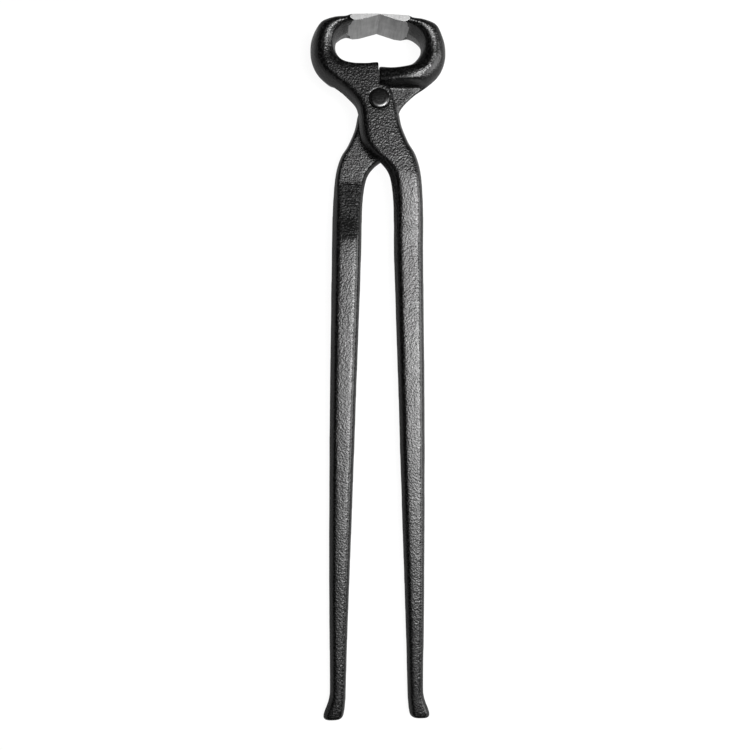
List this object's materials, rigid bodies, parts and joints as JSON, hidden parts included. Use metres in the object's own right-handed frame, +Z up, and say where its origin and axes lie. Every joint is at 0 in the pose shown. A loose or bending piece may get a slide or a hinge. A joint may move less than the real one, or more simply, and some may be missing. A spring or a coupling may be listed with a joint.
{
  "type": "long-handled nippers",
  "caption": "Long-handled end-cutting nippers: two black forged levers crossed in a half-lap joint on a rivet, with wide bevelled blades that meet edge to edge.",
  "frame": {"origin": "centre of the bounding box in plan, at the level of the lowest faces, with the tool lying flat and its jaws closed", "axes": "+Y along the tool towards the jaws, +X to the side of the rear lever's jaw, +Z up along the rivet"},
  "size_m": [0.0744, 0.381, 0.028],
  "materials": {
    "front_forging": "semi-gloss black over a grained drop forging, blades ground bright",
    "rear_forging": "semi-gloss black over a grained drop forging, blades ground bright",
    "rivet_steel": "smooth blackened steel, more polished than the levers"
  },
  "bodies": {
    "rear_half": {"rear_lever": "rear_forging", "pivot_rivet": "rivet_steel"},
    "front_half": {"front_lever": "front_forging"}
  },
  "joints": [
    {"name": "jaw_hinge", "type": "hinge", "parent": "rear_half", "child": "front_half", "pos_m": [0, 0.1463, 0.014], "axis": [0, 0, 1], "range_deg": [0, 60]}
  ]
}
